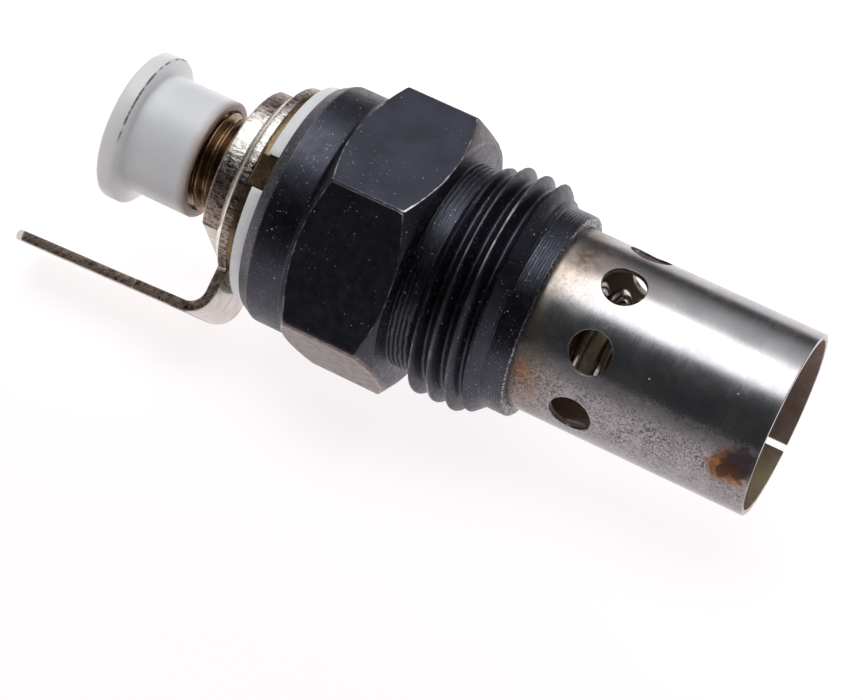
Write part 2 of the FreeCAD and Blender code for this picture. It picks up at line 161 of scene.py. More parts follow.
def rounded(corners, steps=3):
    """The (x, r) points of a line whose corners (x, r, radius) are rounded, for open lines."""
    points = [corners[0][:2]]
    for before, here, after in zip(corners, corners[1:], corners[2:]):
        corner = Vector(here[:2])
        if here[2] == 0:
            points.append(tuple(corner))
            continue
        back = Vector(before[:2]) - corner
        forth = Vector(after[:2]) - corner
        reach = min(here[2], back.length * CORNER_REACH, forth.length * CORNER_REACH)
        start = corner + back.normalized() * reach
        end = corner + forth.normalized() * reach
        for i in range(steps + 1):
            t = i / steps
            points.append(tuple(start * (1 - t) ** 2 + corner * 2 * t * (1 - t) + end * t * t))
    points.append(corners[-1][:2])
    return points


def hexagon_r(angle, rounding):
    """Radius of the hexagon, with rounded corners, at an angle round the axis."""
    off = abs((angle + 30) % 60 - 30)
    radius = HEX_HALF / math.cos(math.radians(30 - off))
    return min(radius, HEX_CORNER - rounding + 0.3 * off * rounding) if off < 2 else radius


def angles_round(corner_angle=None):
    """Angles from 0 to 360, closer together at every 60 from a corner's angle."""
    angles = {float(a) for a in range(0, 361)}
    if corner_angle is not None:
        for corner in range(6):
            for i in range(-10, 11):
                angles.add(round((corner_angle + 60 * corner + i * 0.15) % 360, 3))
    return sorted(angles)


# ---------------------------------------------------------------- meshes

def at(x, r, angle):
    """The point, in metres, at a distance along the axis, a radius and an angle round it."""
    turn = math.radians(angle)
    return Vector((x, r * math.cos(turn), r * math.sin(turn))) * MM


def skin(bm, columns):
    """A sheet of quads over columns of points, all with the same number of points."""
    grid = [[bm.verts.new(p) for p in column] for column in columns]
    for left, right in zip(grid, grid[1:]):
        for j in range(len(left) - 1):
            bm.faces.new((left[j], right[j], right[j + 1], left[j + 1]))


def turned(bm, line, angles):
    """An outline of (x, r) points turned round the axis."""
    skin(bm, [[at(x, r, angle) for x, r in line] for angle in angles])


JOIN_WITHIN = 1e-7  # metres


def finished(name, bm, body, slot, nodes, sharp=35):
    """Weld the sheets into one skin and make it a piece that stands for CAD nodes."""
    bmesh.ops.remove_doubles(bm, verts=bm.verts, dist=JOIN_WITHIN)
    bmesh.ops.dissolve_degenerate(bm, edges=bm.edges, dist=JOIN_WITHIN)
    bmesh.ops.recalc_face_normals(bm, faces=bm.faces)
    mesh = bpy.data.meshes.new(name)
    bm.to_mesh(mesh)
    bm.free()
    mesh.polygons.foreach_set("use_smooth", [True] * len(mesh.polygons))
    mesh.set_sharp_from_angle(angle=math.radians(sharp))
    piece = bpy.data.objects.new(name, mesh)
    bpy.context.collection.objects.link(piece)
    normals = piece.modifiers.new("normals", "WEIGHTED_NORMAL")
    normals.keep_sharp = True
    mesh.materials.append(LOOKS[slot])
    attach(piece, body)
    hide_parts(*nodes)
    return piece


def break_edges(modifiers, name, width, limit):
    """Bevel every edge that is sharper than the limit."""
    bevel = modifiers.new(name, "BEVEL")
    bevel.width = width * MM
    bevel.segments = 2
    bevel.limit_method = "ANGLE"
    bevel.angle_limit = math.radians(limit)


# a thread's height at steps along its pitch, from root to root
THREAD_FORM = [(0.00, 0.00), (0.05, 0.01), (0.09, 0.06), (0.14, 0.19), (0.27, 0.55),
               (0.40, 0.89), (0.43, 0.96), (0.47, 1.00), (0.53, 1.00), (0.57, 0.96),
               (0.60, 0.89), (0.73, 0.55), (0.86, 0.19), (0.91, 0.06), (0.95, 0.01)]


def thread(bm, angles, crest_x, pitch, start, end, surface):
    """A right-hand thread between two rings. crest_x is a crest's x at angle 0, and
    surface(x, height) gives the radius."""
    first = math.floor((start - crest_x) / pitch) - 1
    last = math.ceil((end - crest_x) / pitch) + 1
    columns = []
    for angle in angles:
        column = []
        for turn in range(first, last):
            for phase, height in THREAD_FORM:
                x = crest_x + pitch * (turn + phase - 0.5 + angle / 360)
                x = min(max(x, start), end)
                column.append(at(x, surface(x, height), angle))
        columns.append(column)
    skin(bm, columns)


# ---------------------------------------------------------------- material shorthand

USUAL = (0.3, 0.7)  # most of a noise texture's values lie between these


class Paint:
    """A node material, with the frame's millimetres and the angle round the axis at hand."""

    def __init__(self, name):
        self.material = bpy.data.materials.new(name)
        self.material.use_nodes = True
        self.tree = self.material.node_tree
        self.shader = self.tree.nodes["Principled BSDF"]
        metres = self.add("ShaderNodeTexCoord").outputs["Object"]
        scaled = self.add("ShaderNodeVectorMath", {0: metres, 3: 1 / MM}, operation="SCALE")
        self.mm = scaled.outputs[0]
        self.x, y, z = self.add("ShaderNodeSeparateXYZ", {0: self.mm}).outputs
        self.r = self.root(self.plus(self.times(y, y), self.times(z, z)))
        self.cos = self.math("DIVIDE", y, self.r)
        self.sin = self.math("DIVIDE", z, self.r)

    def add(self, kind, inputs=None, **settings):
        node = self.tree.nodes.new(kind)
        for key, value in settings.items():
            setattr(node, key, value)
        for key, value in (inputs or {}).items():
            self.feed(node.inputs[key], value)
        return node

    def feed(self, socket, value):
        if isinstance(value, bpy.types.NodeSocket):
            self.tree.links.new(value, socket)
        else:
            socket.default_value = value

    def math(self, operation, first, *others):
        """An operation on one value, or on several from the left."""
        if not others:
            return self.add("ShaderNodeMath", {0: first}, operation=operation).outputs[0]
        for other in others:
            node = self.add("ShaderNodeMath", {0: first, 1: other}, operation=operation)
            first = node.outputs[0]
        return first

    def plus(self, *values):
        return self.math("ADD", *values)

    def minus(self, *values):
        return self.math("SUBTRACT", *values)

    def times(self, *values):
        return self.math("MULTIPLY", *values)

    def most(self, *values):
        return self.math("MAXIMUM", *values)

    def least(self, *values):
        return self.math("MINIMUM", *values)

    def size(self, value):
        return self.math("ABSOLUTE", value)

    def root(self, value):
        return self.math("SQRT", value)

    def span(self, value, low, high, to_low=0.0, to_high=1.0):
        """value from low to high becomes to_low to to_high, smoothly, and stays there outside."""
        node = self.add("ShaderNodeMapRange", {0: value, 1: low, 2: high, 3: to_low, 4: to_high},
                        interpolation_type="SMOOTHSTEP")
        return node.outputs[0]

    def fall(self, value, low, high):
        """1 below low and 0 above high."""
        return self.span(value, low, high, 1.0, 0.0)

    def between(self, value, start, end, soft=0.1):
        """1 where value lies from start to end."""
        rise = self.span(value, start - soft, start + soft)
        return self.times(rise, self.fall(value, end - soft, end + soft))

    def facing(self, angle):
        """The cosine of how far round the axis a point is from an angle."""
        turn = math.radians(angle)
        return self.plus(self.times(self.cos, math.cos(turn)), self.times(self.sin, math.sin(turn)))

    def wave(self, length, wander):
        """Rings round the axis, one to each length along it."""
        return self.math("SINE", self.plus(self.times(self.x, 2 * math.pi / length), wander))

    def noise(self, scale, detail=4.0, roughness=0.55, where=None, distortion=0.0):
        inputs = {"Vector": where or self.mm, "Scale": scale, "Detail": detail,
                  "Roughness": roughness, "Distortion": distortion}
        return self.add("ShaderNodeTexNoise", inputs).outputs[0]

    def uneven(self, low, high, scale, detail=4.0):
        """A number that drifts from low to high over the surface."""
        return self.span(self.noise(scale, detail), *USUAL, low, high)

    def mottled(self, light, dark, scale, detail=4.0):
        """A colour that drifts from light to dark over the surface."""
        return self.mix(self.span(self.noise(scale, detail), *USUAL), light, dark)

    def dots(self, scale):
        """Scattered points: a random number for each, and the distance from the nearest."""
        cells = self.add("ShaderNodeTexVoronoi", {"Vector": self.mm, "Scale": scale})
        parts = self.add("ShaderNodeSeparateColor", {0: cells.outputs["Color"]})
        return parts.outputs[0], cells.outputs["Distance"]

    def stretched(self, along, around, radial=None):
        """Coordinates for marks that run round the axis (around small) or along it."""
        radial = along if radial is None else radial
        first = self.plus(self.times(self.x, along), self.times(self.r, radial))
        where = {0: first, 1: self.times(self.cos, around), 2: self.times(self.sin, around)}
        return self.add("ShaderNodeCombineXYZ", where).outputs[0]

    def mix(self, amount, a, b):
        node = self.add("ShaderNodeMix", {0: amount}, data_type="RGBA")
        for index, value in ((6, a), (7, b)):
            is_socket = isinstance(value, bpy.types.NodeSocket)
            self.feed(node.inputs[index], value if is_socket else (*value, 1.0))
        return node.outputs[2]

    def spot(self, x, angle, size_x, size_round, noise=0.0):
        """A soft patch on the surface: 1 at its middle and 0 at its edge."""
        turn = math.radians(angle)
        dx = self.math("DIVIDE", self.minus(self.x, x), size_x)
        across = self.minus(self.times(self.sin, math.cos(turn)),
                            self.times(self.cos, math.sin(turn)))
        dr = self.math("DIVIDE", self.times(across, self.r), size_round)
        far = self.root(self.plus(self.times(dx, dx), self.times(dr, dr)))
        if noise:
            ragged = self.minus(self.noise(0.9), 0.5)
            far = self.plus(far, self.times(ragged, noise))
        return self.times(self.fall(far, 0.0, 1.0), self.span(self.facing(angle), 0.0, 0.2))

    def bump(self, *layers):
        """Layers of (height in mm, socket) stacked into one bump."""
        normal = None
        for depth, height in layers:
            node = self.add("ShaderNodeBump",
                            {"Strength": 1.0, "Distance": depth * MM, "Height": height})
            if normal is not None:
                self.feed(node.inputs["Normal"], normal)
            normal = node.outputs[0]
        self.feed(self.shader.inputs["Normal"], normal)

    def set(self, **values):
        for key, value in values.items():
            socket = self.shader.inputs[key.replace("_", " ")]
            if isinstance(value, tuple):
                value = (*value, 1.0)
            self.feed(socket, value)


# ---------------------------------------------------------------- materials

def black_oxide():
    """Blackened steel: blue-black, worn bright on its corners, with turning marks and dust."""
    p = Paint("black_oxide_steel")
    y, z = p.times(p.cos, p.r), p.times(p.sin, p.r)
    half_y, half_z = p.times(y, COS_30), p.times(z, 0.5)

    # distances from the axis, square to each pair of flats
    top = p.size(z)
    right = p.size(p.plus(half_z, half_y))
    left = p.size(p.minus(half_z, half_y))
    farthest = p.most(top, p.most(right, left))
    nearest = p.least(top, p.least(right, left))
    second = p.minus(p.plus(top, p.plus(right, left)), p.plus(farthest, nearest))
    on_hexagon = p.span(p.r, COLLAR_R + 0.02, COLLAR_R + 0.12)
    on_flat = p.span(farthest, HEX_HALF - 0.05, HEX_HALF - 0.02)
    off_flat = p.minus(1.0, on_flat)

    # how far a point is from each kind of edge of the hexagon
    inside = p.times(p.minus(HEX_HALF, farthest), 3)
    left_cone = HEX_CHAMFER / (HEX_CORNER - COLLAR_R)
    left_edge = p.minus(p.minus(p.x, HEX_LEFT), p.times(p.minus(p.r, COLLAR_R), left_cone))
    right_cone = SEAT_CHAMFER / (HEX_CORNER - SEAT_R)
    right_edge = p.plus(p.x, p.times(p.minus(p.r, SEAT_R), right_cone))
    corner_line = p.most(p.minus(farthest, second), inside)
    left_line = p.most(p.size(left_edge), inside)
    right_line = p.most(p.size(right_edge), inside)
    edge_distance = p.least(corner_line, p.least(left_line, right_line))

    # wear along those edges, wider and brighter at the knocked corner and on two arcs
    patchy = p.noise(0.9, 6, 0.7)
    nibbled = p.noise(5.0, 4, 0.6)
    knock = p.spot(-0.8, 119, 1.6, 1.5, 0.4)
    arcs = p.most(p.spot(-0.7, 108, 1.8, 5.0, 0.6), p.spot(-9.4, 121, 2.0, 2.2, 0.6))
    width = p.plus(p.span(patchy, 0.35, 0.7, 0.02, 0.10), p.times(nibbled, 0.10))
    width = p.plus(width, p.times(knock, 0.08))
    strength = p.plus(p.span(patchy, 0.42, 0.66, 0.12, 0.5), p.times(knock, 0.6))
    strength = p.plus(strength, p.times(arcs, 0.5))
    worn = p.times(p.fall(p.minus(edge_distance, width), -0.06, 0.03), on_hexagon, strength)
    worn = p.least(worn, 1.0)

    # the thread's crests and the pilot's rim are rubbed too
    on_thread = p.between(p.x, 1.5, 8.3)
    crest = p.times(p.span(p.r, THREAD_CREST - 0.06, THREAD_CREST), on_thread)
    along = p.noise(1.0, 3, where=p.stretched(0.2, 2.4, 0.2))
    crest = p.times(crest, p.span(along, 0.46, 0.62, 0.04, 0.34))
    rim = p.times(p.span(p.x, HOLDER_END - 0.20, HOLDER_END - 0.06),
                  p.span(nibbled, 0.50, 0.60, 0.03, 0.6))
    rubbed = p.most(worn, p.most(crest, rim))

    # lint and chips: small bright specks, thicker in some places and few on the flats
    chamfer = p.between(p.x, COLLAR_LEFT - 0.1, COLLAR_CHAMFER_END + 0.05)
    pilot = p.between(p.x, THREAD_END - 0.3, HOLDER_END - 0.1)
    crowd = p.plus(p.span(p.noise(0.22, 3), 0.45, 0.62, 0.0, 0.04),
                   p.plus(p.times(chamfer, 0.12), p.times(pilot, 0.05)))
    crowd = p.minus(crowd, p.times(on_flat, 0.045))
    layers = []
    for scale, share, size in ((2.1, 0.968, 0.19), (4.5, 0.942, 0.25), (7.5, 0.95, 0.30)):
        chance, distance = p.dots(scale)
        picked = p.span(p.plus(chance, crowd), share, share + 0.01)
        layers.append(p.times(picked, p.fall(distance, size * 0.5, size)))
    lint = p.times(p.most(*layers), p.span(p.noise(0.9, 2), 0.35, 0.6, 0.3, 1.0))

    # fine scratches across the flats
    flattened = p.add("ShaderNodeVectorMath", {0: p.mm, 1: Vector((0.5, 2.6, 2.6))},
                      operation="MULTIPLY").outputs[0]
    contour = p.size(p.minus(p.noise(1.0, 2, where=flattened, distortion=0.6), 0.5))
    hair = p.times(p.fall(contour, 0.0, 0.006), p.span(p.noise(0.5, 3), 0.60, 0.66), on_flat)

    # colours: duller on the collar's chamfer, pinkish brown on the seat's chamfer away from the
    # front, and on the flat that faces down beside the blade a painted reflection of the pale floor
    colour = p.mottled((0.046, 0.047, 0.060), (0.058, 0.060, 0.078), 0.35, 3)
    dulled = p.times(chamfer, p.span(nibbled, 0.35, 0.6, 0.5, 1.0))
    colour = p.mix(dulled, colour, (0.155, 0.15, 0.17))
    seat = p.times(p.between(p.x, -SEAT_CHAMFER - 0.05, 0.1), on_hexagon, off_flat)
    seat = p.times(seat, p.fall(p.facing(150), 0.45, 0.75))
    colour = p.mix(p.times(seat, 0.75), colour, (0.15, 0.125, 0.125))
    # painted reflection: the flat that faces down is tinted pinkish brown as if it mirrored the
    # pale floor
    downward = p.times(p.plus(half_y, half_z), -1.0)
    floor_reflection = p.times(p.span(downward, COLLAR_R - 0.03, COLLAR_R + 0.27), on_hexagon)
    swirl = p.span(p.noise(1.3, 6, 0.7, distortion=1.5), 0.35, 0.6, 0.4, 1.0)
    colour = p.mix(p.times(floor_reflection, swirl), colour, (0.21, 0.155, 0.148))
    colour = p.mix(p.times(hair, 0.35), colour, (0.45, 0.45, 0.47))
    colour = p.mix(rubbed, colour, (0.76, 0.75, 0.73))
    colour = p.mix(lint, colour, (0.68, 0.68, 0.68))

    # turning marks, with grooves on the pilot and, broader, on the neck
    marks = p.noise(1.0, 4, where=p.stretched(4.0, 1.2))
    fine = p.noise(1.0, 3, where=p.stretched(13.0, 1.5))
    wander = p.times(p.noise(0.8, 2), 5.0)
    grooves = p.wave(0.26, wander)
    broad = p.wave(0.45, wander)
    neck = p.times(p.between(p.x, 0.0, THREAD_ROOT_FULL), p.fall(p.r, 9.9, 10.1))
    grain = p.noise(10.0, 6, 0.65)
    p.bump((0.030, p.times(marks, off_flat)), (0.020, p.times(fine, off_flat)),
           (0.018, p.times(grooves, pilot)), (0.020, p.times(broad, neck)),
           (0.030, p.times(grain, p.plus(p.times(chamfer, 0.9), 0.12))))
    roughness = p.minus(p.uneven(0.34, 0.46, 1.4, 5), p.times(pilot, 0.06))
    p.set(Base_Color=colour, Metallic=p.minus(1.0, lint), Roughness=roughness)
    return p.material


def shield_steel():
    """Rolled steel strip, tinted by heat near the holder and round the weld."""
    p = Paint("shield_steel")
    patchy = p.noise(0.45, 5, 0.6)
    mottle = p.noise(1.3, 6, 0.7)
    steel = p.mix(p.span(p.noise(0.25, 3), 0.35, 0.65), (0.41, 0.41, 0.43), (0.34, 0.34, 0.365))
    near_holder = p.times(p.fall(p.x, HOLDER_END, 16.5), p.span(patchy, 0.35, 0.6, 0.25, 1.0))
    film = p.mix(p.times(near_holder, 0.6), steel, (0.34, 0.27, 0.19))
    far_side = p.times(p.span(p.sin, 0.86, 1.0), p.span(p.x, 14.0, 24.0, 1.0, 0.35))
    film = p.mix(p.times(far_side, 0.5), film, (0.33, 0.26, 0.21))

    # brown scale that the flame leaves on the lower side, crinkled, over a pinkish tint that is a
    # painted reflection of the pale floor
    lower = p.span(p.plus(p.cos, p.times(patchy, 0.12)), -0.76, -0.92)
    crinkle = p.size(p.minus(p.noise(1.15, 3, 0.6, distortion=3.0), 0.5))
    scaly = p.times(p.fall(crinkle, 0.004, 0.040), lower)
    scaly = p.times(scaly, p.span(patchy, 0.35, 0.55, 0.45, 1.0))
    # painted reflection: the lower side is tinted pink as if it mirrored the pale floor
    film = p.mix(p.times(lower, 0.5), film, (0.37, 0.32, 0.33))
    film = p.mix(scaly, film, (0.062, 0.050, 0.050))

    # heat stains and grime beside the holder
    side = p.times(p.spot(12.6, 172, 3.4, 4.6, 1.3), p.span(mottle, 0.35, 0.6, 0.35, 1.0))
    film = p.mix(p.times(side, 0.8), film, (0.26, 0.17, 0.10))
    film = p.mix(p.times(p.spot(12.0, 167, 1.0, 1.6, 0.8), 0.6), film, (0.33, 0.13, 0.05))
    top = p.times(p.spot(13.0, 90, 2.8, 3.6, 1.2), p.span(mottle, 0.35, 0.6, 0.3, 1.0))
    film = p.mix(p.times(top, 0.85), film, (0.13, 0.085, 0.062))
    grime = p.times(p.span(p.noise(3.6, 6, 0.75), 0.52, 0.66), p.span(p.x, 12.0, 19.0, 0.75, 0.0))
    film = p.mix(grime, film, (0.13, 0.10, 0.085))

    # spot weld: an orange halo low on its left, a brown middle, a purple-black upper side and a
    # faint straight edge to the tint
    halo = p.most(p.spot(31.6, 168, 2.6, 2.6, 0.5), p.spot(30.8, 171, 1.7, 1.9, 0.5))
    core = p.most(p.spot(32.1, 166, 2.2, 2.0, 1.0), p.spot(31.2, 172, 1.0, 1.2, 0.8))
    soot = p.most(p.spot(32.4, 160, 1.9, 1.7, 0.9), p.spot(33.3, 163, 1.2, 2.4, 0.8))
    tint = p.times(p.spot(32.0, 176, 4.4, 6.0, 0.8), p.span(p.x, 29.3, 29.6))
    ember = p.mix(p.span(mottle, 0.40, 0.62), (0.34, 0.145, 0.045), (0.17, 0.075, 0.035))
    film = p.mix(p.times(tint, 0.35), film, (0.24, 0.19, 0.16))
    film = p.mix(p.times(p.span(halo, 0.02, 0.5), 0.9), film, ember)
    film = p.mix(p.times(p.span(core, 0.08, 0.5), 0.9), film, (0.075, 0.038, 0.028))
    film = p.mix(p.times(p.span(soot, 0.05, 0.6), 0.85), film, (0.050, 0.036, 0.045))

    # the brown inside, olive below the seam
    inside = p.fall(p.r, 8.2, 8.4)
    brown = p.mix(p.span(patchy, 0.35, 0.65), (0.50, 0.365, 0.30), (0.34, 0.225, 0.175))
    brown = p.mix(p.times(p.spot(32.0, 268, 6.0, 5.0, 0.8), 0.85), brown, (0.80, 0.72, 0.40))
    colour = p.mix(p.times(inside, 0.85), film, brown)

    # white dust
    chance, distance = p.dots(1.1)
    dust = p.times(p.span(chance, 0.95, 0.955), p.fall(distance, 0.07, 0.11))
    colour = p.mix(p.times(dust, 0.7), colour, (0.8, 0.8, 0.8))

    round_marks = p.noise(1.0, 5, 0.65, where=p.stretched(11.0, 1.6, 0.0))
    long_marks = p.noise(1.0, 5, 0.65, where=p.stretched(0.13, 42.0, 0.0))
    p.bump((0.0007, round_marks), (0.0012, long_marks), (0.018, p.times(scaly, -1.0)),
           (0.010, p.times(mottle, lower)))
    roughness = p.plus(p.span(round_marks, *USUAL, 0.215, 0.255),
                       p.span(patchy, 0.4, 0.7, 0.0, 0.06), p.times(p.most(lower, halo), 0.12))
    roughness = p.plus(roughness, p.times(near_holder, 0.12))
    metal = p.minus(1.0, p.most(p.times(dust, 0.9), p.times(inside, 0.85)))
    p.set(Base_Color=colour, Metallic=metal, Roughness=roughness)
    return p.material


def nickel():
    """Nickel-plated steel; the sheared edges of the blade, ring and nut are brown and torn, with a
    painted highlight on the nut and ring.
    """
    p = Paint("nickel_plate")
    y, z = p.times(p.cos, p.r), p.times(p.sin, p.r)
    turn = math.radians(BLADE_ANGLE)
    across = p.size(p.minus(p.times(y, math.sin(turn)), p.times(z, math.cos(turn))))
    outward = p.plus(p.times(y, math.cos(turn)), p.times(z, math.sin(turn)))

    # where the edges are
    half = p.span(p.x, BLADE_SHOULDER - 0.05, BLADE_SHOULDER + 0.05, BLADE_HALF, STRIP_HALF)
    blade_edge = p.times(p.span(p.minus(across, half), -0.06, -0.02),
                         p.span(p.r, BLADE_INNER_R, BLADE_INNER_R + 0.1))
    nut_edge = p.times(p.span(p.r, NUT_R - 0.12, NUT_R - 0.06),
                       p.between(p.x, NUT_LEFT + 0.1, NUT_RIGHT, 0.05))
    ring_edge = p.times(p.between(p.r, 9.5, 9.75, 0.05),
                        p.between(p.x, RING_LEFT, RING_RIGHT, 0.05), p.fall(outward, 8.3, 8.6))
    sheared = p.most(blade_edge, p.most(nut_edge, ring_edge))

    # tears run across each edge, and are fewer where the nut and ring carry the painted highlight
    tears = p.noise(1.0, 5, 0.7, where=p.stretched(0.5, 26.0, 2.0))
    strip_tears = p.noise(1.0, 5, 0.7, where=p.stretched(3.4, 2.0, 3.4))
    tears = p.plus(p.times(tears, p.minus(1.0, blade_edge)), p.times(strip_tears, blade_edge))
    pits = p.noise(1.9, 6, 0.75, distortion=0.4)
    # painted highlight: the side that faces 108 degrees round the axis, where the edges are painted
    # pale and less torn
    painted_highlight_side = p.facing(108)
    torn = p.times(p.span(p.plus(tears, pits), 0.92, 1.14), p.span(painted_highlight_side, 0.95, 0.99, 1.0, 0.35))

    plate = p.mottled((0.62, 0.58, 0.54), (0.50, 0.46, 0.42), 0.8)
    dull = p.mix(p.span(pits, 0.35, 0.65), (0.22, 0.175, 0.15), (0.055, 0.042, 0.038))
    # painted highlight: the nut's and ring's edges are pale on that side and brown elsewhere; the
    # blade's edge is brown
    highlit_edge_colour = p.mix(p.span(painted_highlight_side, 0.86, 0.98), (0.40, 0.31, 0.275), (0.74, 0.70, 0.65))
    highlit_edge_colour = p.mix(blade_edge, highlit_edge_colour, (0.33, 0.24, 0.185))
    colour = p.mix(sheared, plate, p.mix(torn, highlit_edge_colour, dull))
    p.bump((0.030, p.times(tears, sheared)), (0.070, p.times(pits, sheared)),
           (0.002, p.noise(5.0, 5)))
    roughness = p.plus(p.uneven(0.17, 0.26, 3.0), p.times(blade_edge, 0.12))
    p.set(Base_Color=colour, Metallic=p.span(blade_edge, 0.0, 1.0, 1.0, 0.6),
          Roughness=roughness)
    return p.material


def washer_plate():
    """Smoother nickel plate, turned."""
    p = Paint("nickel_washer")
    p.bump((0.003, p.noise(5.0, 5)), (0.003, p.noise(1.0, 3, where=p.stretched(14.0, 2.0))))
    p.set(Base_Color=p.mottled((0.84, 0.81, 0.73), (0.74, 0.70, 0.62), 0.8), Metallic=1.0,
          Roughness=p.uneven(0.20, 0.30, 3.0))
    return p.material


def passivated():
    """Steel with a golden-brown passivate coat."""
    p = Paint("passivated_steel")
    p.bump((0.004, p.noise(1.0, 3, where=p.stretched(8.0, 2.0))))
    p.set(Base_Color=p.mottled((0.29, 0.195, 0.125), (0.17, 0.105, 0.065), 0.7), Metallic=1.0,
          Roughness=p.uneven(0.22, 0.36, 2.0))
    return p.material


def golden():
    """Varnished golden-brown sheet."""
    p = Paint("golden_washer")
    p.bump((0.01, p.noise(4.0)))
    p.set(Base_Color=p.mottled((0.185, 0.125, 0.062), (0.09, 0.06, 0.032), 1.2), Metallic=0.7,
          Roughness=p.uneven(0.18, 0.32, 3.0))
    return p.material


def white_insulator():
    """Dense white insulating plate, a little translucent."""
    p = Paint("white_insulator")
    p.bump((0.008, p.noise(6.0, 5)))
    p.set(Base_Color=p.mottled((0.93, 0.94, 0.97), (0.88, 0.885, 0.91), 0.6),
          Roughness=p.uneven(0.40, 0.55, 2.0), Subsurface_Weight=0.25,
          Subsurface_Radius=Vector((0.8, 0.8, 0.8)), Subsurface_Scale=0.6 * MM)
    return p.material


def translucent():
    """Soft natural polythene, a little waxy, with a line of dirt round its rim."""
    p = Paint("translucent_plastic")
    colour = p.mottled((0.915, 0.94, 0.99), (0.885, 0.905, 0.965), 0.4, 3)
    colour = p.mix(p.span(p.r, 5.9, 6.6), colour, (0.96, 0.94, 0.945))
    warm_end = p.times(p.between(p.x, -23.5, -22.5, 0.6), 0.8)
    colour = p.mix(warm_end, colour, (0.42, 0.27, 0.19))
    smudges = p.span(p.noise(3.2, 6, 0.75), 0.66, 0.72)
    colour = p.mix(p.times(smudges, 0.25), colour, (0.35, 0.27, 0.22))

    # the dirt lies in the flange's rounded edge, on the upper side
    off_corner = p.most(p.size(p.plus(p.x, 0.09 - CAP_FLANGE_END)),
                        p.size(p.minus(p.r, CAP_FLANGE_R - 0.07)))
    wander = p.noise(1.0, 4, 0.7, where=p.stretched(0.3, 5.0, 0.3))
    off_line = p.minus(off_corner, p.times(wander, 0.14))
    dirt = p.times(p.fall(off_line, -0.03, 0.04), p.span(wander, 0.36, 0.56),
                   p.span(p.sin, 0.45, 0.65))
    colour = p.mix(p.times(dirt, 0.85), colour, (0.06, 0.05, 0.04))
    p.bump((0.012, p.noise(1.2)), (0.006, p.noise(1.0, 3, where=p.stretched(5.0, 1.5))))
    p.set(Base_Color=colour, Roughness=p.uneven(0.30, 0.42, 1.6), Subsurface_Weight=0.7,
          Subsurface_Radius=Vector((1.0, 0.95, 0.9)), Subsurface_Scale=1.1 * MM)
    return p.material


def heated(name, light, dark, roughness):
    """Steel browned by heat, in bands round the axis."""
    p = Paint(name)
    bands = p.noise(1.0, where=p.stretched(0.6, 1.2))
    colour = p.mix(p.span(bands, *USUAL), light, dark)
    soot = tuple(c * 0.4 for c in dark)
    colour = p.mix(p.span(p.noise(3.0, 5), 0.55, 0.7), colour, soot)
    p.bump((0.008, p.noise(6.0, 5)))
    p.set(Base_Color=colour, Metallic=1.0,
          Roughness=p.span(bands, *USUAL, roughness, roughness + 0.15))
    return p.material


def ceramic(name, light, dark):
    """Matt fired clay."""
    p = Paint(name)
    p.bump((0.02, p.noise(8.0, 5)))
    p.set(Base_Color=p.mottled(light, dark, 1.5, 5), Roughness=p.uneven(0.6, 0.8, 3.0))
    return p.material


def rubber():
    """Black rubber."""
    p = Paint("sealing_rubber")
    p.bump((0.01, p.noise(7.0, 5)))
    p.set(Base_Color=p.mottled((0.012, 0.012, 0.012), (0.022, 0.022, 0.022), 2.0),
          Roughness=p.uneven(0.5, 0.7, 3.0))
    return p.material


# a look for each material slot of the record
LOOKS = {
    "black_oxide_steel": black_oxide(),
    "shield_steel": shield_steel(),
    "white_insulator": white_insulator(),
    "golden_washer": golden(),
    "nickel_plate": nickel(),
    "nickel_washer": washer_plate(),
    "passivated_steel": passivated(),
    "sealing_rubber": rubber(),
    "bearing_steel": heated("bearing_steel", (0.60, 0.59, 0.58), (0.50, 0.49, 0.48), 0.08),
    "heated_steel": heated("heated_steel", (0.26, 0.20, 0.13), (0.15, 0.11, 0.07), 0.28),
    "low_expansion_alloy": heated("low_expansion_alloy", (0.50, 0.49, 0.47), (0.38, 0.36, 0.33),
                                  0.25),
    "coil_ceramic": ceramic("coil_ceramic", (0.34, 0.30, 0.20), (0.22, 0.18, 0.11)),
    "resistance_wire": heated("resistance_wire", (0.50, 0.47, 0.44), (0.34, 0.30, 0.26), 0.20),
    "weld_metal": heated("weld_metal", (0.30, 0.22, 0.14), (0.16, 0.10, 0.06), 0.35),
    "translucent_plastic": translucent(),
}

SLOTS = {part["node"]: part["material_slot"] for part in frame["record"]["subparts"]}
for node, cad_piece in frame["nodes"].items():
    look = LOOKS[SLOTS[node]]
    if cad_piece.material_slots:
        for material_slot in cad_piece.material_slots:
            material_slot.material = look
    else:
        cad_piece.data.materials.append(look)


# ---------------------------------------------------------------- holder

EDGE = 0.12  # rounding of the holder's turned edges


def holder_line(angle):
    """The holder's outline from the end of its thread, round the inside, to the thread's start."""
    flat = hexagon_r(angle, EDGE)
    left = HEX_LEFT + HEX_CHAMFER * (flat - COLLAR_R) / (HEX_CORNER - COLLAR_R)
    right = -SEAT_CHAMFER * max(flat - SEAT_R, 0.02) / (HEX_CORNER - SEAT_R)
    return [
        (THREAD_END, PILOT_R, 0),
        (HOLDER_END, PILOT_R, 0.22),
        (HOLDER_END, SHIELD_SOCKET_R, 0.08),
        (SHIELD_LEFT, SHIELD_SOCKET_R, 0),
        (SHIELD_LEFT, CHAMBER_R, 0),
        (CHAMBER_LEFT, CHAMBER_R, 0.1),
        (CHAMBER_LEFT, STEM_HOLE_R, 0),
        (COLLAR_LEFT, STEM_HOLE_R, 0),
        (COLLAR_LEFT, COLLAR_FACE_R, EDGE),
        (COLLAR_CHAMFER_END, COLLAR_R, EDGE),
        (HEX_LEFT, COLLAR_R, 0.25),
        (left, flat, EDGE),
        (right, flat, EDGE),
        (0, min(flat, SEAT_R), EDGE),
        (0, NECK_R, 0.15),
        (THREAD_START, NECK_R, 0),
    ]


